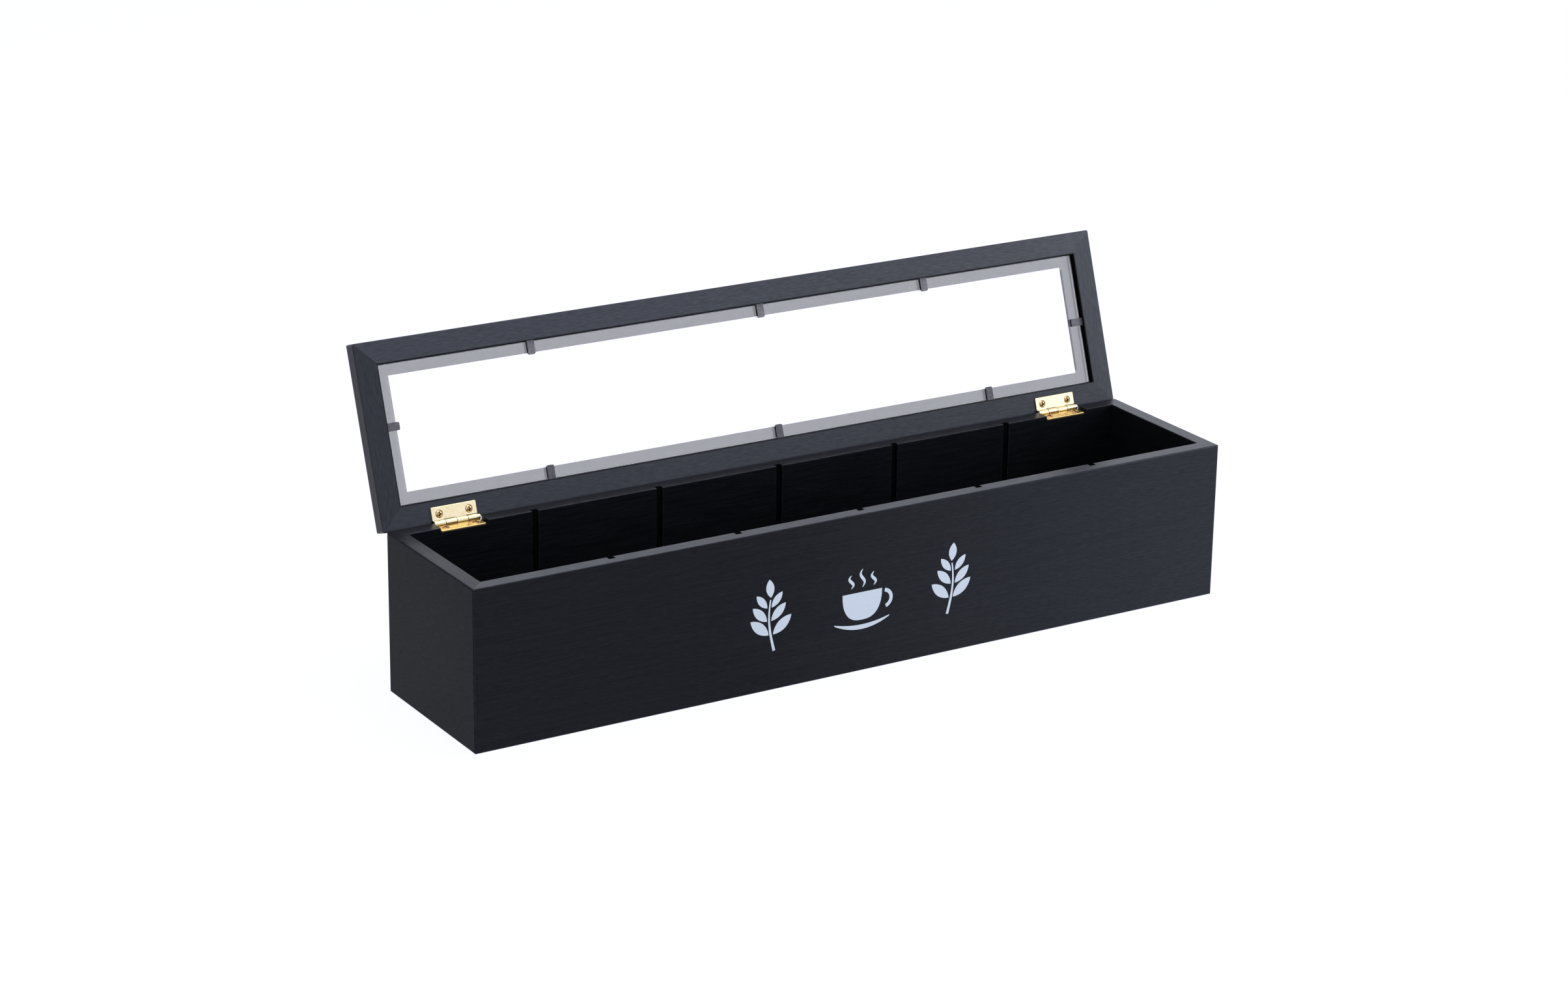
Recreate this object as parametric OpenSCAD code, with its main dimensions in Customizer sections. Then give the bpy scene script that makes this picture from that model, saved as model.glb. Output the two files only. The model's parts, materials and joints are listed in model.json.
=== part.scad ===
// Long tea bag box with six compartments and a glazed lid on two brass butt hinges.
// Millimetres. X runs along the box, Y to the back, Z up; the origin is the middle of the base.
// The boards and the lid rails are mitred at their corners. The lid is drawn closed and then
// turned open about the hinge pins.

/* [Box] */
// Length of the box, left to right
body_length = 430; // [360:1:600]
// Depth of the box, front to back
body_depth = 90; // [75:1:160]
// Height of the box without its lid
body_height = 82; // [70:1:120]
// Thickness of the four wall boards
wall = 8; // [7:0.5:12]
// Thickness of the bottom board
bottom_thickness = 4; // [3:0.5:6]
// How far the bottom board is let into each wall
bottom_rebate = 4; // [2:0.5:5]
// Gap between the bottom board and the ends of its rebate
bottom_clearance = 0.2; // [0.1:0.1:0.5]
// Rounding of the boards' outer edges
outer_edge_radius = 0.8; // [0.5:0.1:2]
// Rounding of the edges that meet at the rim, the box's inner one and the lid's outer one
meeting_edge_radius = 0.4; // [0.2:0.1:1]

/* [Dividers] */
// Number of compartments in the row
compartments = 6; // [3:1:7]
// Thickness of each divider
divider_thickness = 3; // [2:0.5:4]
// Height of each divider
divider_height = 42; // [25:1:55]
// Rounding of each divider's long edges
divider_edge_radius = 0.6; // [0.2:0.1:0.9]
// Depth of the grooves that hold the dividers
groove_depth = 3; // [2:0.5:4]
// Gap between a divider and each face of its grooves
sliding_gap = 0.3; // [0.2:0.05:0.5]

/* [Lid] */
// How far the lid stands open; 0 is shut
lid_open_angle = 109; // [0:1:110]
// How far the lid stands proud of the box all round
lid_overhang = 0.8; // [0:0.1:0.8]
// Thickness of the lid frame
lid_thickness = 9; // [8:0.5:14]
// Width of each rail of the lid frame
rail_width = 17.5; // [15:0.5:24]
// Width of the lip that carries the pane
lip_width = 6.1; // [3:0.1:7]
// Depth of the rebate behind the lip
rebate_depth = 4.4; // [4:0.1:6]
// Rounding of the lid's upper outer edges
lid_edge_radius = 2.2; // [1:0.1:4]
// Rounding of the edge round the window
sight_edge_radius = 2.6; // [0.5:0.1:3]
// Rounding of the lid's upright corners
lid_corner_radius = 1.2; // [0.5:0.1:2.5]
// Gap between the shut lid and the rim
lid_gap = 0.3; // [0.2:0.1:0.6]

/* [Window] */
// Thickness of the pane
pane_thickness = 2; // [1.5:0.1:3]
// Gap between the pane's right-hand edge and its rail
pane_end_gap = 0.85; // [0.3:0.05:1]
// Gap between the pane's front edge and its rail
pane_front_gap = 0.4; // [0.3:0.05:1]
// Gap between the pane's other two edges and the rails that it leans on
pane_rest_gap = 0.1; // [0.05:0.05:0.2]
// Gap between the pane and the lip, and between the pane and the tabs
pane_play = 0.1; // [0.05:0.05:0.2]
// Width of the ground bevel along the pane's edges
pane_bevel = 0.3; // [0.1:0.1:0.5]
// Thickness of the glazing tabs
tab_thickness = 0.6; // [0.4:0.1:1]
// Width of the glazing tabs
tab_width = 4; // [3:0.5:6]
// How far a tab reaches over the pane
tab_reach = 7; // [4:0.1:8]
// How far a tab is driven into its rail
tab_driven = 2.5; // [1:0.5:4]
// Rounding of a tab's free corners
tab_corner_radius = 0.9; // [0.3:0.1:1.4]
// Distance of the left-hand tabs from the lid's left end
tab_left_inset = 94.5; // [80:0.5:110]
// Distance of the front rail's last tab from the lid's right end
front_tab_right_inset = 106.5; // [90:0.5:120]
// Distance of the hinge rail's last tab from the lid's right end
hinge_tab_right_inset = 76.5; // [60:0.5:90]
// Offset of the middle tabs to the right of the lid's middle
tab_middle_offset = 10; // [0:0.5:20]
// Distance of the left rail's tab from the lid's hinge edge
left_tab_from_hinge = 49.5; // [35:0.5:52]
// Distance of the right rail's tab from the lid's hinge edge
right_tab_from_hinge = 44; // [35:0.5:52]

/* [Hinges] */
// Length of each hinge along its pin
hinge_length = 24; // [20:0.5:32]
// Distance of each hinge's middle from the end of the box
hinge_inset = 37.5; // [30:0.5:80]
// Distance of the hinge pins behind the back of the box
pin_setback = 0.8; // [0.6:0.1:2]
// Width of each leaf, from the pin's middle to the free edge
leaf_width = 8.2; // [7.8:0.1:9]
// Distance from the pin's middle to the face that each leaf lies on
leaf_seat = 1.3; // [1.25:0.05:1.5]
// Thickness of the hinge's sheet metal
sheet = 0.7; // [0.5:0.05:0.8]
// Radius of the hinge pins
pin_radius = 0.8; // [0.7:0.05:1]
// Radial clearance of the pin in its knuckles
pin_clearance = 0.05; // [0.03:0.01:0.08]
// Gap between neighbouring knuckles
knuckle_gap = 0.3; // [0.15:0.05:0.4]
// Gap between a knuckle and the leaf or board it turns beside
turning_gap = 0.3; // [0.15:0.05:0.4]
// Width of the slit where the rolled sheet ends
curl_slit = 0.4; // [0.2:0.05:0.5]
// Rounding of the leaves' free corners
leaf_corner_radius = 0.6; // [0.3:0.1:2]
// Rounding of the leaves' long free edges, on the side of the screw heads
leaf_edge_radius = 0.4; // [0.2:0.05:0.45]
// Radius of the head at the pin's right-hand end
pin_head_radius = 1.4; // [1.2:0.1:1.5]
// Length of the pin's head
pin_head_length = 0.6; // [0.3:0.1:1]
// Gap between a hinge and each end of its mortise
mortise_clearance = 0.6; // [0.2:0.1:1]

/* [Hinge screws] */
// Distance between the two screws of a leaf
screw_spacing = 16; // [14:0.5:17]
// Distance of the screws from the pin's middle
screw_offset = 4.6; // [4:0.1:5]
// Radius of a screw head
screw_head_radius = 1.8; // [1.5:0.1:2.2]
// Height of a head's countersunk cone
screw_head_height = 1; // [0.8:0.1:1.3]
// Height of a head's domed top
screw_dome_height = 0.65; // [0.3:0.05:0.7]
// Depth of a head's rim below the face of its leaf
screw_sink_depth = 0.2; // [0.1:0.05:0.3]
// Radius of a screw's shank
screw_shank_radius = 1; // [0.7:0.1:1.3]
// Length of a screw below its dome
screw_length = 6.5; // [5:0.5:7]
// Length of a screw's point
screw_point_length = 1.5; // [1:0.1:2]
// Gap between a screw and its hole
screw_clearance = 0.05; // [0.02:0.01:0.1]
// Length of each slot of the cross recess
cross_length = 2.2; // [1.2:0.1:2.6]
// Width of each slot of the cross recess
cross_width = 0.55; // [0.3:0.05:0.7]
// Depth of the cross recess below the rim of the head
cross_depth = 0.6; // [0.3:0.05:0.65]

/* [Hidden] */
$fn = 48;
cut = 1; // how far a cutting shape runs past what it cuts

wood_colour = [0.14, 0.15, 0.17];
divider_colour = [0.10, 0.10, 0.11];
brass_colour = [0.85, 0.70, 0.35];
tab_colour = [0.38, 0.38, 0.40];
glass_colour = [0.75, 0.82, 0.86, 0.35];

inside_length = body_length - 2 * wall;
inside_depth = body_depth - 2 * wall;

divider_count = compartments - 1;
divider_pitch = (inside_length + divider_thickness) / compartments;
groove_width = divider_thickness + 2 * sliding_gap;

knuckle_bore = pin_radius + pin_clearance;
knuckle_radius = knuckle_bore + sheet;
knuckle_count = 4;
knuckle_pitch = hinge_length / knuckle_count;
knuckle_length = knuckle_pitch - knuckle_gap;
slit_angle = 2; // where the rolled sheet ends, below the level of the pin
screw_tip_radius = 0.25;
turning_radius = knuckle_radius + turning_gap;

lid_length = body_length + 2 * lid_overhang;
lid_depth = body_depth + 2 * lid_overhang;
lid_z = body_height + lid_gap;
rebate_face = rail_width - lip_width; // width of a rail's underside
pane_depth = rebate_depth - pane_thickness - pane_play; // of its face, below the underside
pane_size = [
  lid_length - 2 * rebate_face - pane_end_gap - pane_rest_gap,
  lid_depth - 2 * rebate_face - pane_front_gap - pane_rest_gap
];
pane_middle = [(pane_rest_gap - pane_end_gap) / 2, (pane_front_gap - pane_rest_gap) / 2];

pin_y = body_depth / 2 + pin_setback;
pin_z = lid_z - leaf_seat;
hinge_x = body_length / 2 - hinge_inset;

HINGES = ["left", "right"];
TABS = [
  // rail, distance of the tab along its rail from the rail's middle, seen from the lid's inside
  ["front", -lid_length / 2 + tab_left_inset],
  ["front", tab_middle_offset],
  ["front", lid_length / 2 - front_tab_right_inset],
  ["hinge", lid_length / 2 - tab_left_inset],
  ["hinge", -tab_middle_offset],
  ["hinge", -lid_length / 2 + hinge_tab_right_inset],
  ["left", left_tab_from_hinge - lid_depth / 2],
  ["right", lid_depth / 2 - right_tab_from_hinge],
];

// ---------- shared shapes ----------

// What a rounded corner of radius r takes away from the corner at the origin of a flat outline
module corner_cut(r) {
  difference() {
    translate([-cut, -cut]) square(r + cut);
    translate([r, r]) circle(r);
  }
}

// A flat rectangle standing on the X axis with each of its four corners rounded by its own radius
module eased_rectangle(size, lower_left, lower_right, upper_left, upper_right) {
  difference() {
    square(size);
    corner_cut(lower_left);
    translate([size[0], 0]) mirror([1, 0]) corner_cut(lower_right);
    translate([0, size[1]]) mirror([0, 1]) corner_cut(upper_left);
    translate(size) rotate(180) corner_cut(upper_right);
  }
}

// One board of a mitred frame. Its outer face lies on y = 0 and it runs along X; the child is its
// profile, with x inwards from the outer face and y upwards.
module mitred_board(run, width, height, corner_radius) {
  difference() {
    intersection() {
      translate([-run / 2, 0, 0]) rotate([90, 0, 90]) linear_extrude(run) children();
      linear_extrude(height) polygon([
        [-run / 2, 0], [run / 2, 0], [run / 2 - width, width], [-run / 2 + width, width]
      ]);
    }
    for (side = [0, 1]) {
      mirror([side, 0, 0]) translate([-run / 2, 0, -cut]) {
        linear_extrude(height + 2 * cut) corner_cut(corner_radius);
      }
    }
  }
}

// Puts a board, drawn with its outer face on y = 0, on one side of a frame
module on_side(side, length, depth) {
  turn = side == "front" ? 0 : side == "right" ? 90 : side == "left" ? -90 : 180;
  reach = side == "front" || side == "back" || side == "hinge" ? depth / 2 : length / 2;
  rotate([0, 0, turn]) translate([0, -reach, 0]) children();
}

// ---------- box ----------

module wall_profile() {
  difference() {
    eased_rectangle([wall, body_height], outer_edge_radius, 0, outer_edge_radius, meeting_edge_radius);
    translate([wall - bottom_rebate, -cut]) square([bottom_rebate + cut, bottom_thickness + cut]);
  }
}

module wall_board(side) {
  run = side == "front" || side == "back" ? body_length : body_depth;
  on_side(side, body_length, body_depth) {
    mitred_board(run, wall, body_height, outer_edge_radius) wall_profile();
  }
}

function divider_x(i) = (i - compartments / 2) * divider_pitch;

// The grooves for the dividers, cut into a long wall whose inner face looks towards the middle
module divider_grooves() {
  for (i = [1 : divider_count]) {
    translate([
      divider_x(i) - groove_width / 2, -inside_depth / 2 - groove_depth, bottom_thickness
    ]) cube([groove_width, inside_depth + 2 * groove_depth, body_height]);
  }
}

module front_panel() {
  color(wood_colour) difference() {
    wall_board("front");
    divider_grooves();
  }
}

module back_panel() {
  color(wood_colour) difference() {
    wall_board("back");
    divider_grooves();
    for (h = HINGES) at_hinge(h) {
      mortise();
      knuckle_relief();
      at_box_screws() screw_hole();
    }
  }
}

module left_panel() {
  color(wood_colour) wall_board("left");
}

module right_panel() {
  color(wood_colour) wall_board("right");
}

module bottom_panel() {
  length = inside_length + 2 * (bottom_rebate - bottom_clearance);
  depth = inside_depth + 2 * (bottom_rebate - bottom_clearance);
  color(wood_colour) translate([-length / 2, -depth / 2, 0]) cube([length, depth, bottom_thickness]);
}

module divider(i) {
  depth = inside_depth + 2 * (groove_depth - sliding_gap);
  color(divider_colour) {
    translate([divider_x(i) - divider_thickness / 2, depth / 2, bottom_thickness + sliding_gap]) {
      rotate([90, 0, 0]) linear_extrude(depth) {
        eased_rectangle(
          [divider_thickness, divider_height],
          divider_edge_radius, divider_edge_radius, divider_edge_radius, divider_edge_radius
        );
      }
    }
  }
}

// ---------- hinges ----------

// The hinge's own frame: X along the pin, which runs through the origin; a leaf points to -Y
module at_hinge(h) {
  translate([h == "left" ? -hinge_x : hinge_x, pin_y, pin_z]) children();
}

// Room for the box's leaf, cut right through the back wall's rim
module mortise() {
  length = hinge_length + pin_head_length + 2 * mortise_clearance;
  translate([-hinge_length / 2 - mortise_clearance, -pin_setback - wall - cut, -leaf_seat]) {
    cube([length, wall + 2 * cut, leaf_seat + body_height - pin_z + cut]);
  }
}

// Room for the knuckles to turn in
module knuckle_relief() {
  length = hinge_length + pin_head_length + 2 * mortise_clearance;
  translate([-hinge_length / 2 - mortise_clearance, 0, 0]) {
    rotate([0, 90, 0]) cylinder(h = length, r = turning_radius);
  }
}

// The screws of the lower leaf: the top of the leaf is their z = 0
module at_box_screws() {
  for (x = [-screw_spacing / 2, screw_spacing / 2]) {
    translate([x, -screw_offset, sheet - leaf_seat]) children();
  }
}

// A leaf lying flat below the pin, with the knuckles numbered in own rolled round it
module leaf(own) {
  plate = [hinge_length, leaf_width - turning_radius];
  difference() {
    union() {
      translate([-hinge_length / 2, -leaf_width, -leaf_seat]) intersection() {
        linear_extrude(sheet) {
          eased_rectangle(plate, leaf_corner_radius, leaf_corner_radius, 0, 0);
        }
        rotate([90, 0, 90]) linear_extrude(hinge_length) {
          eased_rectangle([plate[1], sheet], 0, 0, leaf_edge_radius, 0);
        }
      }
      for (k = own) {
        translate([-hinge_length / 2 + k * knuckle_pitch + knuckle_gap / 2, 0, 0]) {
          translate([0, -turning_radius - sheet, -leaf_seat]) {
            cube([knuckle_length, turning_radius + sheet, sheet]);
          }
          rotate([0, 90, 0]) cylinder(h = knuckle_length, r = knuckle_radius);
        }
      }
    }
    translate([-hinge_length / 2 - cut, 0, 0]) {
      rotate([0, 90, 0]) cylinder(h = hinge_length + 2 * cut, r = knuckle_bore);
      rotate([slit_angle, 0, 0]) translate([0, -knuckle_radius - sheet, -curl_slit / 2]) {
        cube([hinge_length + 2 * cut, knuckle_radius + sheet, curl_slit]);
      }
    }
    at_box_screws() screw_hole();
  }
}

module screw_shape(gap) {
  translate([0, 0, -screw_head_height]) {
    cylinder(h = screw_head_height, r1 = screw_shank_radius + gap, r2 = screw_head_radius + gap);
  }
  translate([0, 0, screw_point_length - screw_length]) {
    cylinder(h = screw_length - screw_point_length, r = screw_shank_radius + gap);
  }
  translate([0, 0, -screw_length]) {
    cylinder(h = screw_point_length, r1 = screw_tip_radius + gap, r2 = screw_shank_radius + gap);
  }
}

// The hole of a screw, countersunk on past the rim of its head
module screw_hole() {
  rim = screw_head_radius + screw_clearance;
  slope = (screw_head_radius - screw_shank_radius) / screw_head_height;
  rise = screw_sink_depth + cut;
  translate([0, 0, -screw_sink_depth]) {
    screw_shape(screw_clearance);
    cylinder(h = rise, r1 = rim, r2 = rim + rise * slope);
  }
}

module screw() {
  dome_radius = (pow(screw_head_radius, 2) + pow(screw_dome_height, 2)) / (2 * screw_dome_height);
  translate([0, 0, -screw_sink_depth]) difference() {
    union() {
      screw_shape(0);
      intersection() {
        translate([0, 0, screw_dome_height - dome_radius]) sphere(dome_radius);
        cylinder(h = screw_dome_height + cut, r = screw_head_radius);
      }
    }
    for (turn = [0, 90]) {
      rotate([0, 0, turn]) translate([-cross_length / 2, -cross_width / 2, -cross_depth]) {
        cube([cross_length, cross_width, cross_depth + screw_dome_height + cut]);
      }
    }
  }
}

module box_leaf(h) {
  color(brass_colour) at_hinge(h) leaf([1, 3]);
}

module box_screws(h) {
  color(brass_colour) at_hinge(h) at_box_screws() screw();
}

module hinge_pin(h) {
  color(brass_colour) at_hinge(h) rotate([0, 90, 0]) {
    translate([0, 0, -hinge_length / 2]) cylinder(h = hinge_length, r = pin_radius);
    translate([0, 0, hinge_length / 2]) cylinder(h = pin_head_length, r = pin_head_radius);
  }
}

// The lid's side of a hinge is the box's side turned over
module at_lid_hinge(h) {
  opened() at_hinge(h) mirror([0, 0, 1]) children();
}

module lid_leaf(h) {
  color(brass_colour) at_lid_hinge(h) leaf([0, 2]);
}

module lid_screws(h) {
  color(brass_colour) at_lid_hinge(h) at_box_screws() screw();
}

// ---------- lid ----------

// Turns what is drawn shut to where the open lid stands
module opened() {
  translate([0, pin_y, pin_z]) rotate([-lid_open_angle, 0, 0]) translate([0, -pin_y, -pin_z]) children();
}

module rail_profile() {
  difference() {
    eased_rectangle(
      [rail_width, lid_thickness], meeting_edge_radius, 0, lid_edge_radius, sight_edge_radius
    );
    translate([rebate_face, -cut]) square([lip_width + cut, rebate_depth + cut]);
  }
}

// A tab pointing inwards from the rebate wall of a rail whose outer face is on y = 0
module tab_shape(gap) {
  translate([-tab_width / 2 - gap, rebate_face - tab_driven - gap, pane_depth - pane_play]) {
    mirror([0, 0, 1]) translate([0, 0, -gap]) linear_extrude(tab_thickness + 2 * gap) {
      eased_rectangle(
        [tab_width + 2 * gap, tab_driven + tab_reach + gap], 0, 0, tab_corner_radius, tab_corner_radius
      );
    }
  }
}

// Puts a tab, drawn for a rail whose outer face is on y = 0, on its rail
module at_tab(tab) {
  on_side(tab[0], lid_length, lid_depth) translate([tab[1], 0, lid_z]) children();
}

module lid_rail(side) {
  run = side == "front" || side == "hinge" ? lid_length : lid_depth;
  color(wood_colour) opened() difference() {
    translate([0, 0, lid_z]) on_side(side, lid_length, lid_depth) {
      mitred_board(run, rail_width, lid_thickness, lid_corner_radius) rail_profile();
    }
    for (tab = TABS) {
      if (tab[0] == side) at_tab(tab) tab_shape(screw_clearance);
    }
    if (side == "hinge") {
      for (h = HINGES) at_hinge(h) {
        knuckle_relief();
        mirror([0, 0, 1]) at_box_screws() screw_hole();
      }
    }
  }
}

// A bar along X with its four long edges bevelled, centred on the Z axis and standing on z = 0
module bevelled_bar(length, width, height, bevel) {
  translate([-length / 2, 0, 0]) rotate([90, 0, 90]) linear_extrude(length) polygon([
    [bevel - width / 2, 0], [width / 2 - bevel, 0], [width / 2, bevel], [width / 2, height - bevel],
    [width / 2 - bevel, height], [bevel - width / 2, height], [-width / 2, height - bevel],
    [-width / 2, bevel]
  ]);
}

module window_pane() {
  color(glass_colour) opened() {
    translate([pane_middle[0], pane_middle[1], lid_z + pane_depth]) intersection() {
      bevelled_bar(pane_size[0], pane_size[1], pane_thickness, pane_bevel);
      rotate([0, 0, 90]) bevelled_bar(pane_size[1], pane_size[0], pane_thickness, pane_bevel);
    }
  }
}

module glazing_tab(i) {
  color(tab_colour) opened() at_tab(TABS[i - 1]) tab_shape(0);
}

// ---------- nodes ----------

front_panel();
back_panel();
left_panel();
right_panel();
bottom_panel();
for (i = [1 : divider_count]) {
  divider(i);
}
lid_rail("front");  // lid_front_rail
lid_rail("hinge");  // lid_hinge_rail
lid_rail("left");  // lid_left_rail
lid_rail("right");  // lid_right_rail
window_pane();
for (i = [1 : len(TABS)]) {
  glazing_tab(i);
}
for (h = HINGES) {
  box_leaf(h);
  lid_leaf(h);
  hinge_pin(h);
  box_screws(h);
  lid_screws(h);
}
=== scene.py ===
"""Looks of the tea bag box: stained boards, glazed lid, brass hinges and a printed front.

Lengths are in metres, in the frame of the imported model: X along the box, Y to the back, Z up, with
the origin in the middle of the base. The lid stands open, and its materials are laid out in its
shut place, where its rails line up with the box.
"""

import json
import math

import bmesh
import bpy
from mathutils import Matrix, Vector


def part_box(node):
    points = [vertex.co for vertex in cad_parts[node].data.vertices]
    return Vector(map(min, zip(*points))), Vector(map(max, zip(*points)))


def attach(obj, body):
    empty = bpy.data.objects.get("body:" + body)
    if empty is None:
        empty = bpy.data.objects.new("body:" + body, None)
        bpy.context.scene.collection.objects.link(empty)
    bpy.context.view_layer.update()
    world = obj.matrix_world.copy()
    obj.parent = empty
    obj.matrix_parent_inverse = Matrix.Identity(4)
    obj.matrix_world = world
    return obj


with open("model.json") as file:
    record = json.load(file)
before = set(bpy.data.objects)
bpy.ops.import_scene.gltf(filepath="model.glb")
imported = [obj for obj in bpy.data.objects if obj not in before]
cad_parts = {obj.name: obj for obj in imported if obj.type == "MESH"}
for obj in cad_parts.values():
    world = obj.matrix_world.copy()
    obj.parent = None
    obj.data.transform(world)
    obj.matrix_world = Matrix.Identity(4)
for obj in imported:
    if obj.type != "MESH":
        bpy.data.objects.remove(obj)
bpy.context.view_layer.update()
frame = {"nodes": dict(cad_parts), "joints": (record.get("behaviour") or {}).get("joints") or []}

MM = 0.001
NODES = frame["nodes"]

# ---------- driving dimensions ----------

# From the frame
lid_joint = next(joint for joint in frame["joints"] if joint["name"] == "lid_hinge")
LID_OPEN = math.radians(lid_joint["range_deg"][1])
PIN = Vector(lid_joint["pos_m"])

front_low, front_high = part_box("front_panel")
left_low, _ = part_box("left_panel")
FRONT_Y = front_low[1]
BOX_HALF_LENGTH = -left_low[0]
BOX_HALF_DEPTH = -FRONT_Y
RIM_Z = front_high[2]

# The lid's own, as in the part's source
LID_OVERHANG = 0.8 * MM
RAIL_WIDTH = 17.5 * MM
LIP_WIDTH = 6.1 * MM


# ---------- camera ----------

CAMERA_PLACE = Vector((-949.05, -1495.39, 693.94)) * MM
CAMERA_YAW = math.radians(31.85)
CAMERA_PITCH = math.radians(19.171)
CAMERA_ROLL = math.radians(0.8365)
CAMERA_LENS = 86.75  # in millimetres, like the sensor's width
SENSOR_WIDTH = 36.0


def make_camera():
    """The photograph's view, as fitted to the edges of the box."""
    data = bpy.data.cameras.new("camera")
    data.sensor_fit = "HORIZONTAL"
    data.sensor_width = SENSOR_WIDTH
    data.lens = CAMERA_LENS
    camera = bpy.data.objects.new("camera", data)
    bpy.context.scene.collection.objects.link(camera)
    turn = (
        Matrix.Rotation(-CAMERA_YAW, 4, "Z")
        @ Matrix.Rotation(math.pi / 2 - CAMERA_PITCH, 4, "X")
        @ Matrix.Rotation(CAMERA_ROLL, 4, "Z")
    )
    camera.matrix_world = Matrix.Translation(CAMERA_PLACE) @ turn
    bpy.context.scene.camera = camera


# ---------- shader building blocks ----------


class Look:
    """The node tree of a material or the world, with a short method for each kind of node."""

    def __init__(self, owner):
        self.owner = owner
        owner.use_nodes = True
        self.tree = owner.node_tree
        self.tree.nodes.clear()

    def node(self, kind, inputs, **settings):
        """A new node. Its inputs, by name or number, are sockets to link or constants to set."""
        made = self.tree.nodes.new(kind)
        for name, value in settings.items():
            setattr(made, name, value)
        for name, value in inputs.items():
            if isinstance(value, bpy.types.NodeSocket):
                self.tree.links.new(value, made.inputs[name])
            else:
                made.inputs[name].default_value = value
        return made

    def coordinates(self):
        """A place in the frame, which moves with its piece."""
        return self.node("ShaderNodeTexCoord", {}).outputs["Object"]

    def split(self, vector):
        """The outputs X, Y and Z of a vector."""
        return self.node("ShaderNodeSeparateXYZ", {"Vector": vector}).outputs

    def mapping(self, vector, location=(0, 0, 0), rotation=(0, 0, 0), scale=(1, 1, 1)):
        inputs = {"Vector": vector, "Location": location, "Rotation": rotation, "Scale": scale}
        return self.node("ShaderNodeMapping", inputs).outputs["Vector"]

    def noise(self, vector, detail, scale=1.0, roughness=0.5):
        inputs = {"Vector": vector, "Scale": scale, "Detail": detail, "Roughness": roughness}
        return self.node("ShaderNodeTexNoise", inputs).outputs["Fac"]

    def ramp(self, value, low, high, to_low=0.0, to_high=1.0):
        """to_low at low and before, to_high at high and beyond, and a soft change between."""
        inputs = {
            "Value": value,
            "From Min": low,
            "From Max": high,
            "To Min": to_low,
            "To Max": to_high,
        }
        return self.node("ShaderNodeMapRange", inputs, interpolation_type="SMOOTHSTEP").outputs[0]

    def math(self, operation, first, second=0.0):
        return self.node("ShaderNodeMath", {0: first, 1: second}, operation=operation).outputs[0]

    def dot(self, first, second):
        inputs = {0: first, 1: second}
        return self.node("ShaderNodeVectorMath", inputs, operation="DOT_PRODUCT").outputs["Value"]

    def mix(self, factor, first, second):
        """A mixture of two colours. Sockets of this node share their names, so it takes numbers."""
        inputs = {0: factor, 6: first, 7: second}
        return self.node("ShaderNodeMix", inputs, data_type="RGBA").outputs[2]

    def cover(self, base, mask, strength, over):
        """The colour base with the colour over laid on it where mask is 1, at this strength."""
        return self.mix(self.math("MULTIPLY", mask, strength), base, over)

    def bump(self, height, distance, strength):
        inputs = {"Height": height, "Distance": distance, "Strength": strength}
        return self.node("ShaderNodeBump", inputs).outputs["Normal"]

    def hollow_shade(self, reach):
        """1 deep in slots and corners, 0 on open faces, from occlusion: the mask of painted shade.
        """
        made = self.node("ShaderNodeAmbientOcclusion", {"Distance": reach}, samples=8)
        return self.ramp(made.outputs["AO"], 0.85, 0.30)

    def edges(self, width):
        """1 on the arrises of a piece, 0 on its flat faces."""
        rounded = self.node("ShaderNodeBevel", {"Radius": width}, samples=6).outputs["Normal"]
        flat = self.node("ShaderNodeNewGeometry", {}).outputs["Normal"]
        return self.ramp(self.dot(rounded, flat), 0.985, 0.80)

    def surface(self, **inputs):
        """A Principled shader. Its inputs have their own names, with _ for each blank."""
        named = {key.replace("_", " "): value for key, value in inputs.items()}
        return self.node("ShaderNodeBsdfPrincipled", named).outputs["BSDF"]

    def blend(self, factor, first, second):
        """A mixture of two shaders."""
        return self.node("ShaderNodeMixShader", {0: factor, 1: first, 2: second}).outputs[0]

    def finish(self, shader, output="ShaderNodeOutputMaterial"):
        """The material or world, with this shader as its surface."""
        self.node(output, {"Surface": shader})
        return self.owner


def new_look(name):
    return Look(bpy.data.materials.new(name))


def colour(red, green, blue):
    """A colour given as it shows on a screen, 0 to 255, as the shader's own linear values."""

    def linear(value):
        value /= 255
        return value / 12.92 if value <= 0.04045 else ((value + 0.055) / 1.055) ** 2.4

    return (linear(red), linear(green), linear(blue), 1.0)


# ---------- places on the box and the lid ----------

HAIRLINE = 0.11 * MM  # half the width of an open joint line
REBATE_SHADE_REACH = 0.55 * MM  # how far the painted shade of the rebate reaches out onto the rails


def lid_facing(look):
    """1 on the broad faces of the lid, 0 on its narrow ones."""
    normal = look.node("ShaderNodeTexCoord", {}).outputs["Normal"]
    broad_normal = (0, -math.sin(LID_OPEN), -math.cos(LID_OPEN))
    return look.math("ABSOLUTE", look.dot(normal, broad_normal))


def shut_place(look, place):
    """A place on the open lid, turned to where it is when the lid is shut."""
    turn = Matrix.Rotation(LID_OPEN, 3, "X")
    shift = PIN - turn @ PIN
    return look.mapping(place, location=tuple(shift), rotation=(LID_OPEN, 0, 0))


def past_sides(look, place, outset):
    """How far a place lies past the sides across X and Y of the box's outline grown by outset."""
    spot = look.split(place)
    return [
        look.math("SUBTRACT", look.math("ABSOLUTE", spot[axis]), half + outset)
        for axis, half in (("X", BOX_HALF_LENGTH), ("Y", BOX_HALF_DEPTH))
    ]


def past_outline(look, place, outset=0.0):
    """How far a place lies outside the box's outline grown by outset, below 0 inside it."""
    return look.math("MAXIMUM", *past_sides(look, place, outset))


def mitre_line(look, place, outset=0.0):
    """1 on the lines that run in at 45 degrees from the corners of the outline grown by outset."""
    apart = look.math("ABSOLUTE", look.math("SUBTRACT", *past_sides(look, place, outset)))
    return look.ramp(apart, 2.0 * HAIRLINE, 0.8 * HAIRLINE)


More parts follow.
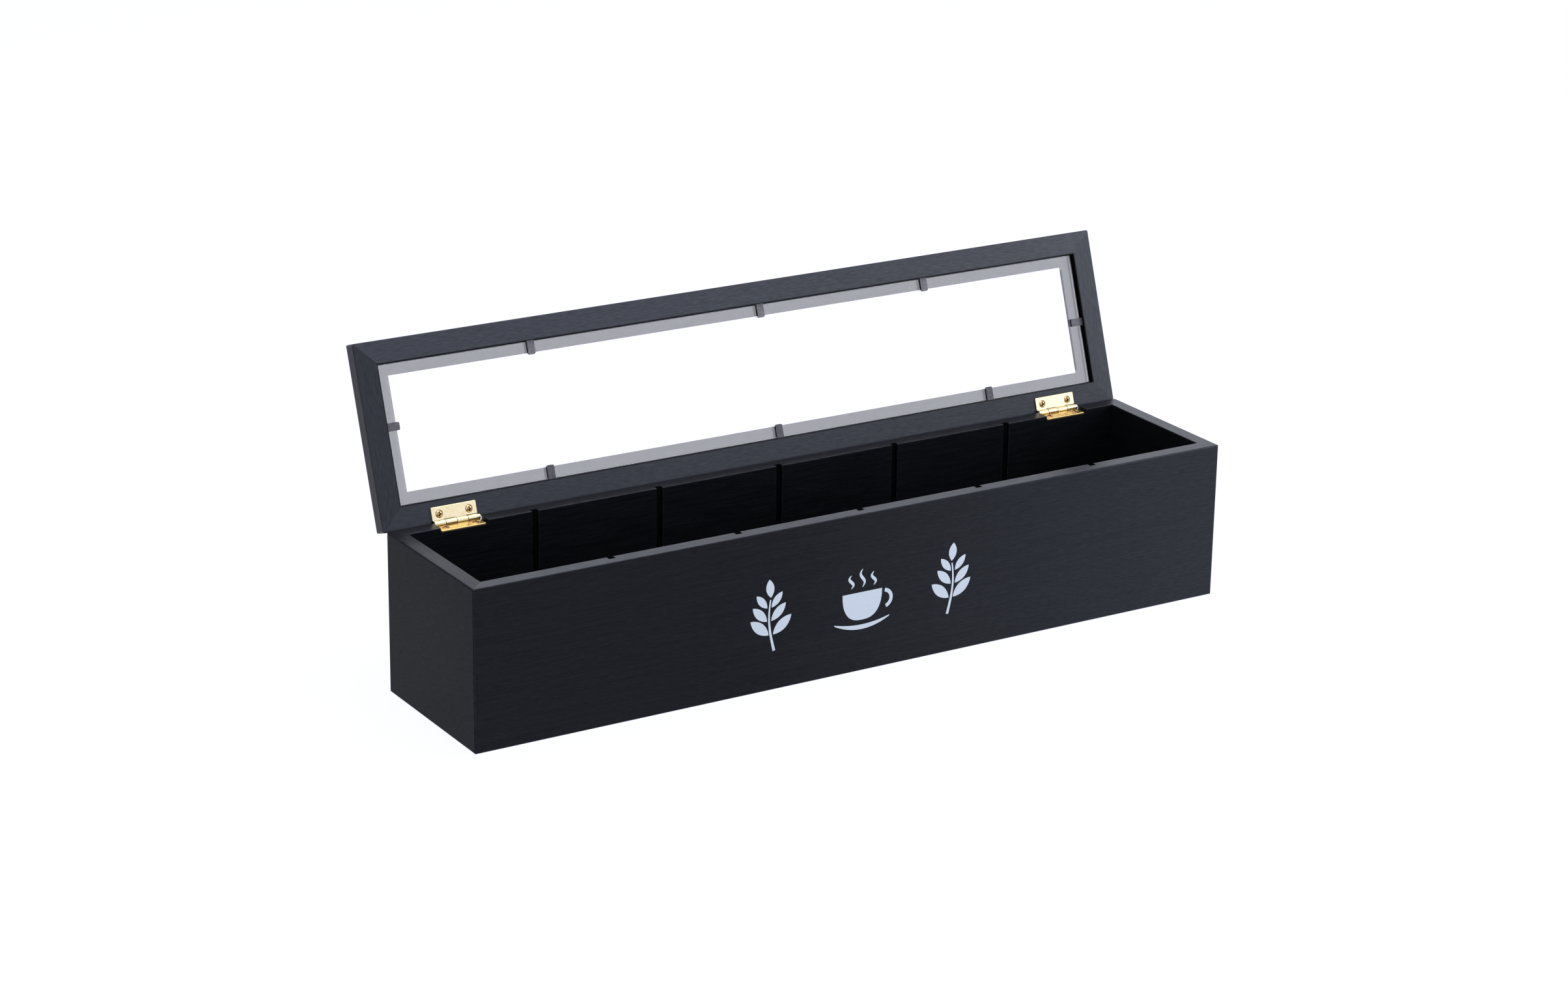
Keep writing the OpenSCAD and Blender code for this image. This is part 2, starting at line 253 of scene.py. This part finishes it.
def rebate_shade(look, place):
    """1 from the lid rails' arris round the pane inwards: painted shade in the rebate and along its
    arris.
    """
    past = past_outline(look, place, LID_OVERHANG - RAIL_WIDTH + LIP_WIDTH)
    return look.ramp(past, REBATE_SHADE_REACH, 0.6 * REBATE_SHADE_REACH)


# ---------- stained wood ----------

# Colours in the shader's own linear values
DARK_STAIN = (0.0042, 0.0046, 0.0058, 1)
PALE_STAIN = (0.0078, 0.0086, 0.0108, 1)
DASH_STAIN = (0.026, 0.027, 0.031, 1)
WORN_STAIN = (0.060, 0.058, 0.060, 1)
# black of the joints, also laid as painted shade along the lid's rebate
JOINT_AND_SHADE_BLACK = (0.002, 0.002, 0.002, 1)
# Blue tints of the sheen: painted colour of the cool light it mirrors, one for the lid and one for
# the box
LID_SHEEN = (0.78, 0.85, 1.0, 1)
BOX_SHEEN = (0.75, 0.83, 1.0, 1)

# Places and widths
WORN_ARRIS = 0.9 * MM
RIM_FADE = (0.25 * MM, 0.03 * MM)  # how deep below the rim its own look starts and is complete
OUTER_FADE = (2.0 * MM, 1.5 * MM)  # the same behind the outer faces
# The sheen's change along X is painted light: a sheen that grows or fades along the board
PAINTED_SHEEN_CHANGE_X = (-0.10, 0.25)  # where the sheen starts to change to its right level, and ends

# Strengths, from 0 to 1
CLOUDS = 0.35
LID_DASHES, BOX_DASHES = 0.2, 0.5
# The joints' blackness, dullness and depth, which on the lid also make the painted shade along the
# rebate
JOINT_AND_SHADE_BLACKNESS, JOINT_AND_SHADE_DULLNESS, JOINT_DEPTH, PORE_DEPTH = 0.8, 0.7, 0.8, 0.5
LID_RELIEF, FACE_RELIEF, RIM_RELIEF = 0.12, 0.45, 0.2

# Noises of a board: their scale along and across the grain, their detail and their roughness
BOARD_PATTERNS = {
    "streaks": ((38, 1300, 1300), 5, 0.62),
    "dashes": ((150, 3400, 3400), 1.5, 0.5),
    "pores": ((90, 4200, 4200), 1, 0.4),
    "clouds": ((9, 22, 22), 3, 0.6),
    "scuffs": ((240, 240, 240), 4, 0.7),
    "flecks": ((200, 2200, 2200), 3, 0.6),
}


def board_patterns(look, place, grain, seed):
    """The noises of a board whose grain runs along X or Y, moved by its seed."""
    turn = math.pi / 2 if grain == "y" else 0.0
    board = look.mapping(place, location=(seed, seed, seed), rotation=(0, 0, turn))
    return {
        name: look.noise(look.mapping(board, scale=scale), detail=detail, roughness=roughness)
        for name, (scale, detail, roughness) in BOARD_PATTERNS.items()
    }


def joint_and_shade_lines(look, place, on_lid, on_rim):
    """1 in a board's dark lines: its mitres, uneven along their length, and painted shade at the
    rebate's edge.
    """
    if on_lid:
        mitres = mitre_line(look, place, LID_OVERHANG)
    else:
        mitres = look.math("MULTIPLY", mitre_line(look, place), on_rim)
    patchy = look.ramp(look.noise(place, scale=90, detail=2), 0.40, 0.58, 0.25, 1.0)
    mitres = look.math("MULTIPLY", mitres, patchy)
    return look.math("MAXIMUM", mitres, rebate_shade(look, place)) if on_lid else mitres


def stain(look, patterns, joint, dashes):
    """The stain's colour: streaked, clouded, dashed, worn on arrises, black in joints and in painted
    shade at the rebate.
    """
    body = look.mix(look.ramp(patterns["streaks"], 0.30, 0.72), DARK_STAIN, PALE_STAIN)
    body = look.cover(body, look.ramp(patterns["clouds"], 0.40, 0.70), CLOUDS, PALE_STAIN)
    body = look.cover(body, look.ramp(patterns["dashes"], 0.63, 0.74), dashes, DASH_STAIN)
    wear = look.ramp(patterns["scuffs"], 0.36, 0.62, 0.05, 0.45)
    body = look.cover(body, look.edges(WORN_ARRIS), wear, WORN_STAIN)
    return look.cover(body, joint, JOINT_AND_SHADE_BLACKNESS, JOINT_AND_SHADE_BLACK)


def grain_relief(look, patterns, joint, strength):
    """Raised streaks with pores and joints sunk in them."""
    pores = look.math("MULTIPLY", look.ramp(patterns["pores"], 0.60, 0.72), PORE_DEPTH)
    height = look.math("SUBTRACT", patterns["streaks"], pores)
    height = look.math("SUBTRACT", height, look.math("MULTIPLY", joint, JOINT_DEPTH))
    return look.bump(height, distance=0.05 * MM, strength=strength)


def stained_wood(
    name,
    grain="x",
    on_lid=False,
    seed=0.0,
    level=0.09,
    edge_level=0.5,
    right_painted_level=None,
    outer_level=None,
):
    """Black stained wood: long fine streaks, short pale dashes, dark pores and softly worn arrises.

    The sheen is level on the broad faces, or changes there towards the right to the level given for
    the right. It is outer_level, where given, on the box's outer faces, and edge_level on the box's
    rim and the lid's narrow faces. These levels differ from board to board, from face to face and
    along the boards. They are painted light and shade, each standing in for the light that fell on
    that place.
    """
    look = new_look(name)
    frame_place = look.coordinates()
    spot = look.split(frame_place)
    on_rim = look.ramp(spot["Z"], *[RIM_Z - depth for depth in RIM_FADE])
    place = shut_place(look, frame_place) if on_lid else frame_place
    patterns = board_patterns(look, place, grain, seed)
    # joint holds the mitre lines and, on the lid, the painted shade along the rebate
    joint = joint_and_shade_lines(look, place, on_lid, on_rim)

    # The sheen's levels along X, on outer faces, on the rim and on narrow faces: painted light and
    # shade
    typical, broad = level, 1.0
    if right_painted_level is not None:
        typical = (level + right_painted_level) / 2
        ends = (level / typical, right_painted_level / typical)
        broad = look.ramp(spot["X"], *PAINTED_SHEEN_CHANGE_X, *ends)
    if outer_level is not None:
        outside = look.ramp(past_outline(look, place), *[-depth for depth in OUTER_FADE])
        broad = look.ramp(outside, 0, 1, broad, outer_level / typical)
    edge = edge_level / typical
    if on_lid:
        share = look.ramp(lid_facing(look), 0.5, 0.95, edge, broad)
    else:
        share = look.ramp(on_rim, 0, 1, broad, edge)
    # less sheen in the joints and in the painted shade along the rebate
    off_joint = look.math("SUBTRACT", 1.0, look.math("MULTIPLY", joint, JOINT_AND_SHADE_DULLNESS))
    share = look.math("MULTIPLY", share, off_joint)
    share = look.math("MULTIPLY", share, look.ramp(patterns["flecks"], 0.30, 0.70, 0.80, 1.20))

    relief = LID_RELIEF if on_lid else look.ramp(on_rim, 0, 1, FACE_RELIEF, RIM_RELIEF)
    shader = look.surface(
        Base_Color=stain(look, patterns, joint, LID_DASHES if on_lid else BOX_DASHES),
        Roughness=look.ramp(patterns["streaks"], 0.25, 0.75, 0.27, 0.38),
        Normal=grain_relief(look, patterns, joint, relief),
        # The typical level is multiplied in last: the glTF exporter reads its constant there
        Specular_IOR_Level=look.math("MULTIPLY", share, typical),
        Specular_Tint=LID_SHEEN if on_lid else BOX_SHEEN,
    )
    return look.finish(shader)


# ---------- brass ----------

# Colours in the shader's own linear values
# Paler brass on the lid leaf, the pin and the box leaf above the pin: the box leaf's brass with a
# painted highlight
HIGHLIT_PALE_BRASS = (0.87, 0.77, 0.50, 1)
BOX_LEAF_BRASS = (0.74, 0.54, 0.21, 1)
# The lid screws and the box screws are the same brass, painted lighter and darker for the light on
# each leaf: painted light and shade
LID_SCREW_BRASS = (0.64, 0.46, 0.24, 1)
BOX_SCREW_BRASS = (0.38, 0.20, 0.09, 1)
# painted shade of the brass, in its hollows and on the screws' arrises
BRASS_SHADE = (0.03, 0.018, 0.008, 1)
TARNISH = (0.82, 0.74, 0.62, 1)  # share of a brass's colour that its tarnish leaves

# how far the painted shade in the brass's hollows reaches
HOLLOW_SHADE_REACH = 0.6 * MM
# width of the painted shade on the screws' arrises
EDGE_SHADE_WIDTH = 0.5 * MM
PIN_FADE = (-0.5 * MM, 0.3 * MM)  # from the pin's middle, where the painted highlight above it takes over


def brass(name, base, roughness, seed, pale_highlight_above_pin=None, edge_shade_strength=0.0):
    """Bright sheet or turned brass: fine brushing, cloudy tarnish and painted shade in its hollows.

    Where a paler colour is given for above the pin, the colour changes to it above the pin: a
    painted highlight. The last argument is the strength of painted shade on the arrises.
    """
    look = new_look(name)
    frame_place = look.coordinates()
    place = look.mapping(frame_place, location=(seed, seed, seed))
    brushing = look.noise(look.mapping(place, scale=(900, 9000, 9000)), detail=3, roughness=0.6)
    clouds = look.noise(place, scale=420, detail=4, roughness=0.6)
    tarnished = tuple(part * share for part, share in zip(base, TARNISH))
    body = look.mix(look.ramp(clouds, 0.42, 0.72, 0.0, 0.55), base, tarnished)
    # paler above the pin: painted highlight
    if pale_highlight_above_pin is not None:
        height = look.split(frame_place)["Z"]
        body = look.mix(look.ramp(height, *[PIN.z + rise for rise in PIN_FADE]), body, pale_highlight_above_pin)
    # darker in slits, recesses and contacts: painted shade
    body = look.cover(body, look.hollow_shade(HOLLOW_SHADE_REACH), 0.9, BRASS_SHADE)
    # darker arrises: painted shade round the screws' heads and their cross recesses
    if edge_shade_strength:
        body = look.cover(body, look.edges(EDGE_SHADE_WIDTH), edge_shade_strength, BRASS_SHADE)
    brushed = look.ramp(brushing, 0.3, 0.7, roughness, roughness + 0.12)
    clouded = look.ramp(clouds, 0.4, 0.7, 0, 0.08)
    shader = look.surface(
        Base_Color=body,
        Metallic=1.0,
        Roughness=look.math("ADD", brushed, clouded),
        Normal=look.bump(brushing, distance=0.01 * MM, strength=0.25),
    )
    return look.finish(shader)


# ---------- glass and its tabs ----------

GLASS_TINT = (0.985, 0.992, 0.990, 1)
GLASS_SHADOW = (0.92, 0.93, 0.93, 1)
GROUND_GLASS = (colour(205, 210, 216), colour(240, 243, 246))
GLASS_INDEX = 1.5
PAINTED_REFLECTION_INDEX = 2.47  # index of a coat that paints a reflection of the pale surroundings on the pane
MIDDLE_PAINTED_REFLECTION = 0.15  # share of that painted reflection that is left where no lip lies behind the pane
BAND_PAST_LIP = 1.4 * MM  # how far the whole painted reflection reaches in from the edge of the lip
BAND_FADE = 0.3 * MM

# The tabs of each rail: how bright they are painted there, the same metal lighter or darker for the
# light on each rail (painted light and shade), and their numbers
TABS = {"front": (100, (1, 2, 3)), "hinge": (74, (4, 5, 6)), "end": (80, (7, 8))}
# painted shade of the tabs: dark round their edges and near-black on their sides
TAB_EDGE_SHADE = colour(30, 31, 35)
TAB_SIDE_SHADE = colour(16, 17, 20)
TAB_ARRIS = 0.35 * MM


def window_glass():
    """Clear glass with ground bevels along its edges. Shadows fall lightly through it.

    It mirrors most where the dark lip lies behind it: a painted reflection, laid on as a coat.
    """
    look = new_look("window glass")
    place = look.coordinates()
    past_lip = past_outline(look, shut_place(look, place), LID_OVERHANG - RAIL_WIDTH)
    clear_glass = look.surface(
        Base_Color=GLASS_TINT,
        Roughness=0.0,
        IOR=GLASS_INDEX,
        Transmission_Weight=1.0,
        # painted reflection: strong over the lip, weak in the middle
        Coat_Weight=look.ramp(
            past_lip, -BAND_PAST_LIP - BAND_FADE, -BAND_PAST_LIP, MIDDLE_PAINTED_REFLECTION, 1.0
        ),
        Coat_IOR=PAINTED_REFLECTION_INDEX,
        Coat_Roughness=0.0,
    )
    grit = look.noise(place, scale=5200, detail=3, roughness=0.7)
    ground = look.mix(look.ramp(grit, 0.3, 0.7), *GROUND_GLASS)
    ground_glass = look.surface(Base_Color=ground, Roughness=0.55)
    slant = look.ramp(lid_facing(look), 0.95, 0.85)
    glass = look.blend(slant, clear_glass, ground_glass)
    clear = look.node("ShaderNodeBsdfTransparent", {"Color": GLASS_SHADOW}).outputs[0]
    shadow = look.node("ShaderNodeLightPath", {}).outputs["Is Shadow Ray"]
    return look.finish(look.blend(shadow, glass, clear))


def tab_metal(name, shade):
    """Dull grey strip with a blotched coating, and painted shade: dark edges and near-black sides.
    """
    look = new_look(name)
    blotches = look.noise(look.coordinates(), scale=700, detail=4, roughness=0.65)
    dark_grey = colour(shade, shade + 1, shade + 9)
    light_grey = colour(shade + 24, shade + 24, shade + 32)
    body = look.mix(look.ramp(blotches, 0.35, 0.70), dark_grey, light_grey)
    # dark edges: painted shade
    body = look.cover(body, look.edges(TAB_ARRIS), 0.75, TAB_EDGE_SHADE)
    # near-black sides with less sheen: painted shade
    on_side = look.ramp(lid_facing(look), 0.8, 0.5)
    shader = look.surface(
        Base_Color=look.mix(on_side, body, TAB_SIDE_SHADE),
        Roughness=look.ramp(blotches, 0.3, 0.7, 0.42, 0.60),
        Normal=look.bump(blotches, distance=0.03 * MM, strength=0.3),
        Specular_IOR_Level=look.math("MULTIPLY", look.ramp(on_side, 0, 1, 1.0, 0.25), 0.4),
    )
    return look.finish(shader)


# ---------- materials of the pieces ----------


def dress(material, *names):
    """Gives CAD nodes a material."""
    for name in names:
        node = NODES[name]
        node.data.materials.clear()
        node.data.materials.append(material)


def dress_box():
    # The boards' sheen levels differ from board to board, on the outer faces and along the front:
    # painted light and shade
    front = stained_wood("front board", seed=0.31, level=0.12, right_painted_level=0.33)
    dress(front, "front_panel")
    back = stained_wood("back board", seed=1.73, level=0.13, edge_level=0.28, outer_level=0.30)
    dress(back, "back_panel")
    left = stained_wood("end board left", grain="y", seed=2.47, level=0.03, edge_level=0.21)
    dress(left, "left_panel")
    right = stained_wood("end board right", grain="y", seed=3.19, level=0.18, outer_level=0.25)
    dress(right, "right_panel")
    dress(stained_wood("bottom board", seed=4.61), "bottom_panel")
    dividers = stained_wood("divider board", grain="y", seed=5.83)
    dress(dividers, *[name for name in NODES if name.startswith("divider_")])


def dress_lid():
    # The rails' sheen levels differ from rail to rail and along the front and hinge rails: painted
    # light and shade
    lid = {"on_lid": True, "edge_level": 0.13}
    front_rail = stained_wood("lid front rail", seed=6.11, level=0.74, right_painted_level=0.52, **lid)
    dress(front_rail, "lid_front_rail")
    hinge_rail = stained_wood("lid hinge rail", seed=7.37, level=0.55, right_painted_level=0.40, **lid)
    dress(hinge_rail, "lid_hinge_rail")
    end_rails = stained_wood("lid end rails", grain="y", seed=8.59, level=0.45, **lid)
    dress(end_rails, "lid_left_rail", "lid_right_rail")

    dress(window_glass(), "window_pane")
    for side, (shade, numbers) in TABS.items():
        metal = tab_metal(f"{side} tab metal", shade)
        dress(metal, *[f"glazing_tab_{number}" for number in numbers])


def dress_hinges():
    metals = {
        "lid_leaf": brass("lid leaf brass", HIGHLIT_PALE_BRASS, roughness=0.20, seed=0.4),
        "box_leaf": brass(
            "box leaf brass", BOX_LEAF_BRASS, roughness=0.20, seed=0.6, pale_highlight_above_pin=HIGHLIT_PALE_BRASS
        ),
        "pin": brass("pin brass", HIGHLIT_PALE_BRASS, roughness=0.20, seed=0.8),
        # The screws' darker arrises are painted shade
        "lid_screws": brass(
            "lid screw brass", LID_SCREW_BRASS, roughness=0.16, seed=0.9, edge_shade_strength=0.95
        ),
        "box_screws": brass(
            "box screw brass", BOX_SCREW_BRASS, roughness=0.16, seed=1.1, edge_shade_strength=0.8
        ),
    }
    for side in ("left", "right"):
        for piece, metal in metals.items():
            dress(metal, f"hinge_{side}_{piece}")


# ---------- printed motifs on the front ----------

INK_THICKNESS = 0.04 * MM
MOTIF_PITCH = 50.5 * MM
MOTIF_MIDDLE = Vector((-2.0 * MM, 38.5 * MM))
INK = colour(205, 217, 232)
THIN_INK = colour(120, 130, 146)

LEAF_STEPS = 10
STEM_STEPS = 14
CUP_STEPS = 20


def printed_ink():
    """Pale screen-printed ink that lets a little of the grain through."""
    look = new_look("printed ink")
    board = look.coordinates()
    grain = look.noise(look.mapping(board, scale=(90, 2200, 2200)), detail=3, roughness=0.6)
    grit = look.noise(board, scale=2600, detail=2, roughness=0.6)
    worn = look.math("MAXIMUM", look.ramp(grain, 0.62, 0.78), look.ramp(grit, 0.66, 0.80))
    shader = look.surface(
        Base_Color=look.cover(INK, worn, 0.45, THIN_INK),
        Roughness=look.ramp(grain, 0.3, 0.7, 0.45, 0.62),
        Normal=look.bump(grain, distance=0.02 * MM, strength=0.5),
    )
    return look.finish(shader)


def shares(steps):
    """0 to 1 in equal steps."""
    return [step / steps for step in range(steps + 1)]


def leaf_outline(root, angle, length, width):
    """A leaf from its root, pointed at both ends, as (x, z) points."""
    fullness = 0.8
    side = [
        (length * share, width / 2 * math.sin(math.pi * share) ** fullness)
        for share in shares(LEAF_STEPS)
    ]
    loop = side + [(x, -z) for x, z in reversed(side[1:-1])]
    turn = Matrix.Rotation(angle, 2)
    return [root + turn @ Vector(point) for point in loop]


def ribbon_outline(path, widths):
    """A strip of varying width along a path of (x, z) points."""
    left, right = [], []
    for number, (point, width) in enumerate(zip(path, widths)):
        before, after = path[max(number - 1, 0)], path[min(number + 1, len(path) - 1)]
        way = (after - before).normalized()
        aside = Vector((-way.y, way.x)) * width / 2
        left.append(point + aside)
        right.append(point - aside)
    return left + right[::-1]


def sprig(lean):
    """An upright sprig: a stem bowed to the left (-1) or right (1), and leaves.

    They are three pairs, shorter and steeper towards the top, and one at the tip.
    """
    height, bow = 36 * MM, 3 * MM
    pair_places = (0.22, 0.42, 0.61)  # shares of the height, like the two after them
    stem_end, tip_start = 0.74, 0.77
    stem_width, stem_taper = 1.5 * MM, 0.8 * MM
    longest_leaf, shortening, widest_slant, steepening = 13.5 * MM, 2.0 * MM, 50, 5
    leaf_plumpness = 0.40
    root_aside, root_rise = 1.2 * MM, 0.6 * MM
    tip_length, tip_width, tip_slant = 9.5 * MM, 4.6 * MM, 6

    def stem_point(share):
        return Vector((lean * bow * math.sin(math.pi * share), (share - 0.5) * height))

    path = [stem_point(share * stem_end) for share in shares(STEM_STEPS)]
    widths = [stem_width - stem_taper * share for share in shares(STEM_STEPS)]
    outlines = [ribbon_outline(path, widths)]
    for pair, place in enumerate(pair_places):
        length = longest_leaf - shortening * pair
        slant = math.radians(widest_slant - steepening * pair)
        for side in (-1, 1):
            root = stem_point(place) + Vector((side * root_aside, root_rise))
            angle = math.pi / 2 - side * slant
            outlines.append(leaf_outline(root, angle, length, leaf_plumpness * length))
    tip_angle = math.pi / 2 - lean * math.radians(tip_slant)
    outlines.append(leaf_outline(stem_point(tip_start), tip_angle, tip_length, tip_width))
    return outlines


def cup_bowl():
    """A straight brim over a full, rounded bowl."""
    brim, half_width, depth = 3.0 * MM, 11.5 * MM, 14.5 * MM
    bowl = [Vector((-half_width, brim)), Vector((half_width, brim))]
    for share in shares(CUP_STEPS)[1:-1]:
        angle = math.pi * share
        across = math.copysign(abs(math.cos(angle)) ** 0.75, math.cos(angle))
        down = math.sin(angle) ** 0.85
        bowl.append(Vector((half_width * across, brim - depth * down)))
    return bowl


def cup_handle():
    """An open loop on the right of the bowl."""
    middle_x, middle_z, half_width, half_height = 12.3 * MM, -2.6 * MM, 4.6 * MM, 4.4 * MM
    first_angle, sweep, thickness = 80, 150, 1.9 * MM
    path = []
    for share in shares(CUP_STEPS):
        angle = math.radians(first_angle - sweep * share)
        x = middle_x + half_width * math.cos(angle)
        path.append(Vector((x, middle_z + half_height * math.sin(angle))))
    return ribbon_outline(path, [thickness] * len(path))


def cup_saucer():
    """A shallow dish that thins towards its raised ends."""
    half_width, low, rise = 16 * MM, -15.2 * MM, 3.2 * MM
    thickness, thinning = 2.4 * MM, 1.9 * MM
    off_middle = [2 * share - 1 for share in shares(CUP_STEPS)]
    path = [Vector((half_width * off, low + rise * off**2)) for off in off_middle]
    return ribbon_outline(path, [thickness - thinning * off**2 for off in off_middle])


def cup_wisp(middle, top):
    """A curl of steam that is thickest halfway up."""
    low, sway, end_width, swell = 5.6 * MM, 1.2 * MM, 0.25 * MM, 1.35 * MM
    path, widths = [], []
    for share in shares(CUP_STEPS):
        x = middle + sway * math.sin(2 * math.pi * share)
        path.append(Vector((x, low + share * (top - low))))
        widths.append(end_width + swell * math.sin(math.pi * share))
    return ribbon_outline(path, widths)


def cup():
    """A cup on a saucer with three wisps of steam, the middle one the tallest."""
    pitch, side_top, middle_top = 6.5 * MM, 12.6 * MM, 15.0 * MM
    wisps = [cup_wisp(-pitch, side_top), cup_wisp(0.0, middle_top), cup_wisp(pitch, side_top)]
    return [cup_bowl(), cup_handle(), cup_saucer(), *wisps]


def print_motif(name, outlines, middle, ink):
    """A thin layer of ink on the front board, from closed outlines about the motif's middle."""
    made = bmesh.new()
    for outline in outlines:
        ring = [
            made.verts.new((middle.x + point.x, FRONT_Y, middle.y + point.y)) for point in outline
        ]
        face = made.faces.new(ring)
        raised = bmesh.ops.extrude_face_region(made, geom=[face])["geom"]
        lift = [item for item in raised if isinstance(item, bmesh.types.BMVert)]
        bmesh.ops.translate(made, verts=lift, vec=(0, -INK_THICKNESS, 0))
    bmesh.ops.recalc_face_normals(made, faces=made.faces)
    mesh = bpy.data.meshes.new(name)
    made.to_mesh(mesh)
    made.free()
    mesh.materials.append(ink)
    piece = bpy.data.objects.new(name, mesh)
    bpy.context.scene.collection.objects.link(piece)
    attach(piece, "box")


def print_front():
    ink = printed_ink()
    motifs = (("left_sprig", -1, sprig(-1)), ("cup", 0, cup()), ("right_sprig", 1, sprig(1)))
    for name, place, outlines in motifs:
        middle = MOTIF_MIDDLE + Vector((place * MOTIF_PITCH, 0))
        print_motif(f"printed_{name}", outlines, middle, ink)


# ---------- floor, world and lamps ----------

STUDIO_WHITE = (1.035, 1.05, 1.16, 1)  # a cool white, as seen straight, mirrored or through glass
WORLD_LIGHT = 0.5  # share of that white that lights the scene
FLOOR_HALF_SIDE = 6.0
FLOOR_PAINT = (0.93, 0.93, 0.93, 1)
FLOOR_SHOWN_WHITE = 0.90  # share of the floor's look that is its own white, the rest being lit
LAMP_TARGET = Vector((0, 0, 0.06))


def shown_white(look):
    """1 for rays that see the background: straight, mirrored or through glass."""
    path = look.node("ShaderNodeLightPath", {}).outputs
    seen = look.math("MAXIMUM", path["Is Camera Ray"], path["Is Glossy Ray"])
    return look.math("MAXIMUM", seen, path["Is Transmission Ray"])


def make_world():
    look = Look(bpy.data.worlds.new("studio"))
    strength = look.ramp(shown_white(look), 0, 1, WORLD_LIGHT, 1.0)
    background = look.node("ShaderNodeBackground", {"Color": STUDIO_WHITE, "Strength": strength})
    bpy.context.scene.world = look.finish(background.outputs[0], output="ShaderNodeOutputWorld")


def make_floor():
    mesh = bpy.data.meshes.new("floor")
    half = FLOOR_HALF_SIDE
    corners = [(-half, -half, 0), (half, -half, 0), (half, half, 0), (-half, half, 0)]
    mesh.from_pydata(corners, [], [(0, 1, 2, 3)])
    floor = bpy.data.objects.new("floor", mesh)
    bpy.context.scene.collection.objects.link(floor)
    look = new_look("floor")
    lit = look.node("ShaderNodeBsdfDiffuse", {"Color": FLOOR_PAINT}).outputs[0]
    white = look.node("ShaderNodeEmission", {"Color": STUDIO_WHITE, "Strength": 1.0}).outputs[0]
    share = look.math("MULTIPLY", shown_white(look), FLOOR_SHOWN_WHITE)
    mesh.materials.append(look.finish(look.blend(share, lit, white)))


def make_lamp(name, place, size, power):
    """A rectangular lamp that faces the box."""
    data = bpy.data.lights.new(name, "AREA")
    data.shape = "RECTANGLE"
    data.size, data.size_y = size
    data.energy = power
    lamp = bpy.data.objects.new(name, data)
    lamp.location = place
    aim = LAMP_TARGET - Vector(place)
    lamp.rotation_mode = "QUATERNION"
    lamp.rotation_quaternion = aim.to_track_quat("-Z", "Y")
    bpy.context.scene.collection.objects.link(lamp)


# ---------- the scene ----------

make_camera()
dress_box()
dress_lid()
dress_hinges()
print_front()
make_floor()
make_world()
make_lamp("side lamp", place=(1.35, -0.75, 0.55), size=(0.6, 0.9), power=10)
make_lamp("top lamp", place=(0.2, -0.2, 2.3), size=(1.6, 1.6), power=22)
bpy.context.scene.view_settings.view_transform = "Standard"
